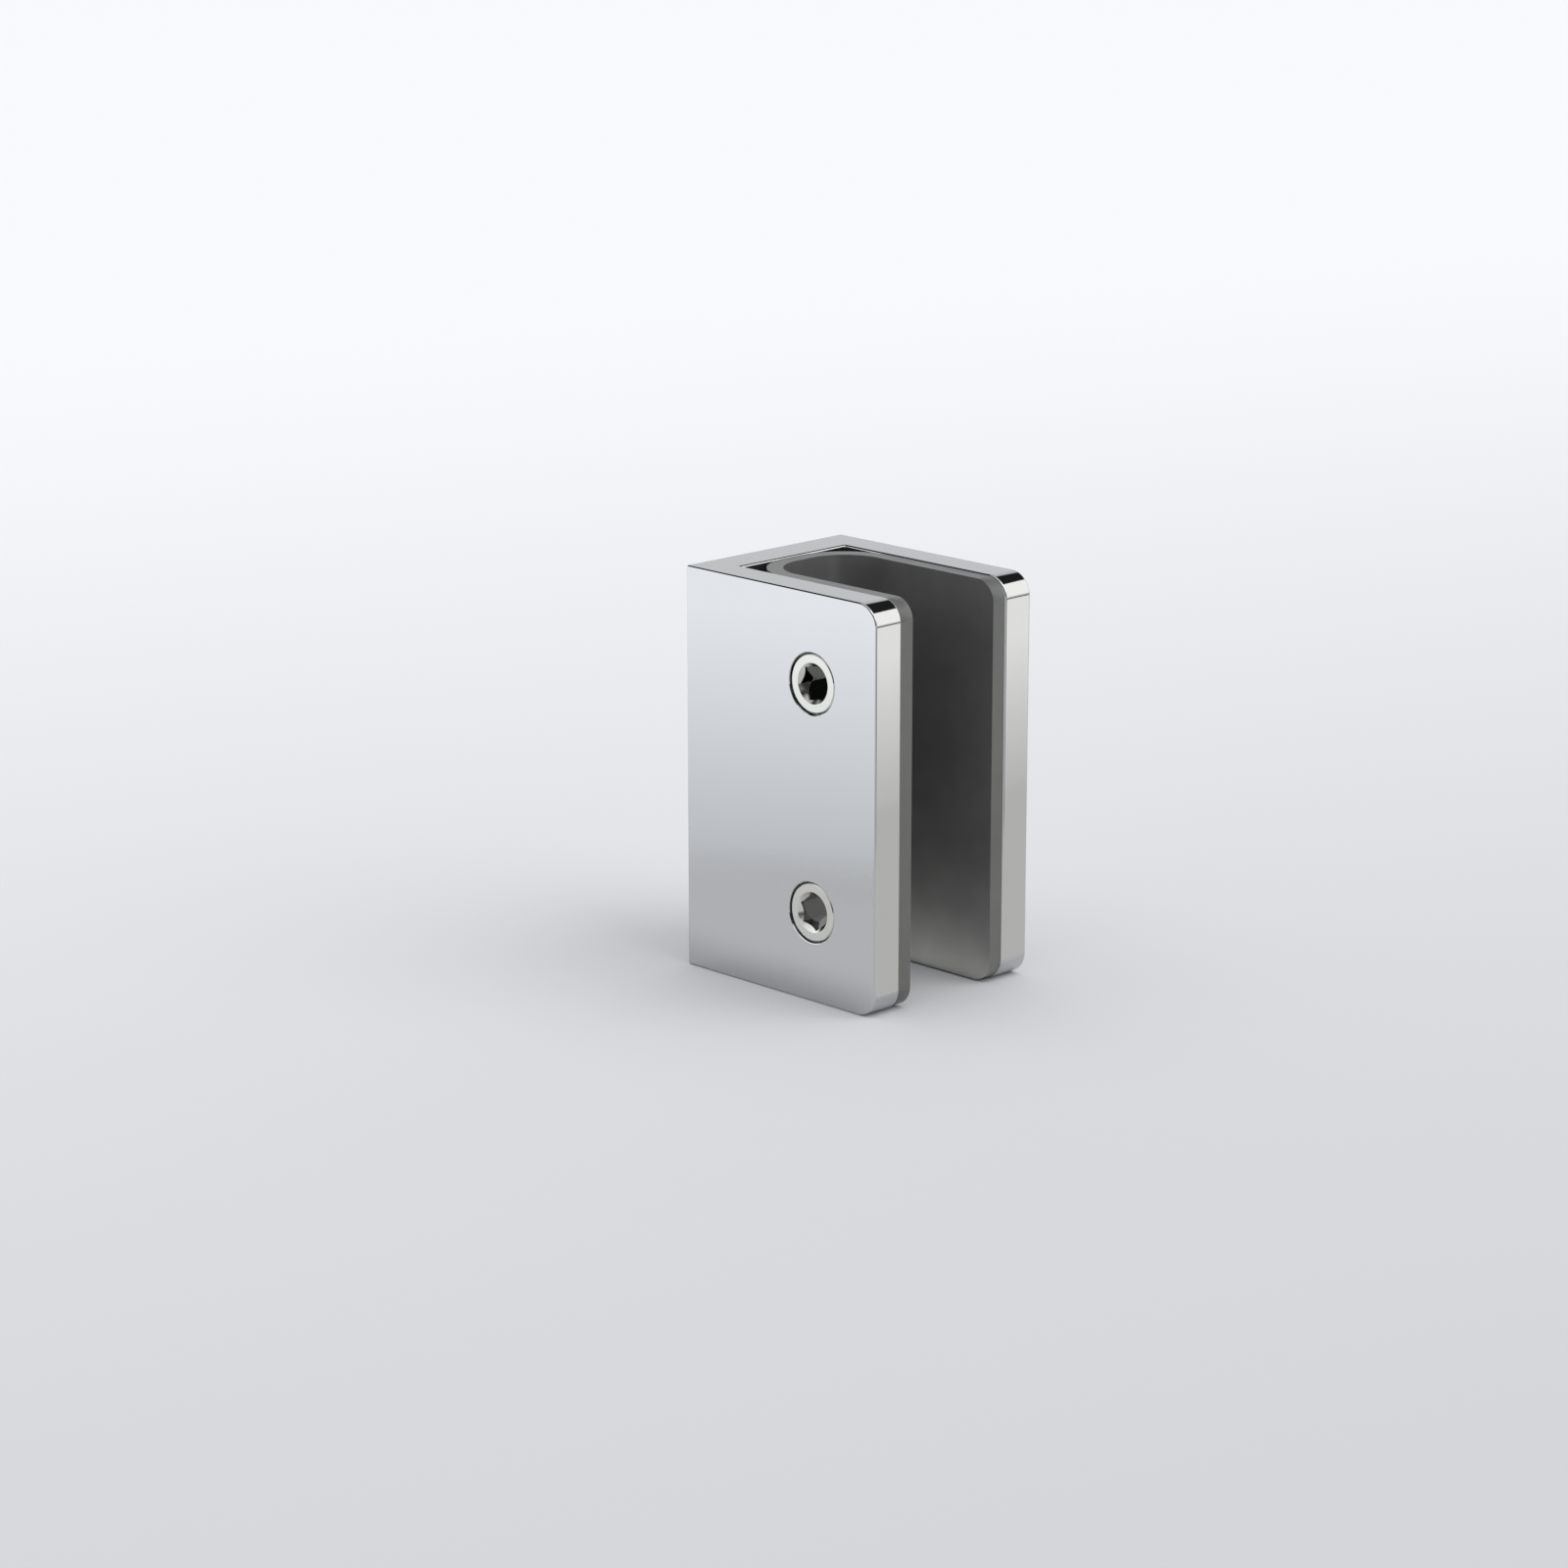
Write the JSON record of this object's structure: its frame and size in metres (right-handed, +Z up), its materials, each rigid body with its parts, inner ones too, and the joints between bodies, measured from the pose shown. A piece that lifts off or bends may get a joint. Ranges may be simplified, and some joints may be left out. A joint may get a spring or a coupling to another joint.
{
  "type": "glass u-bracket",
  "caption": "Polished metal U-shaped wall bracket with a soft liner that grips the edge of a glass panel, clamped by socket set screws.",
  "frame": {"origin": "middle of the flat face that goes against the wall", "axes": "+X from the wall into the room along the glass, towards the open end of the slot; +Y across the glass, from the cheek with the screws to the plain cheek; +Z up"},
  "size_m": [0.032, 0.0264, 0.05],
  "materials": {
    "body": "mirror-polished and chrome-plated",
    "liner": "smooth satin",
    "screw": "turned and polished stainless steel"
  },
  "bodies": {
    "bracket": {"u_body": "body", "liner": "liner"},
    "upper_screw": {"clamp_screw_upper": "screw"},
    "lower_screw": {"clamp_screw_lower": "screw"}
  },
  "joints": [
    {"name": "upper_screw_turn", "type": "hinge", "parent": "bracket", "child": "upper_screw", "pos_m": [0.0215, -0.011, 0.014], "axis": [0, 1, 0], "range_deg": [-720, 450]},
    {"name": "lower_screw_turn", "type": "hinge", "parent": "bracket", "child": "lower_screw", "pos_m": [0.0215, -0.011, -0.014], "axis": [0, 1, 0], "range_deg": [-720, 450]}
  ]
}
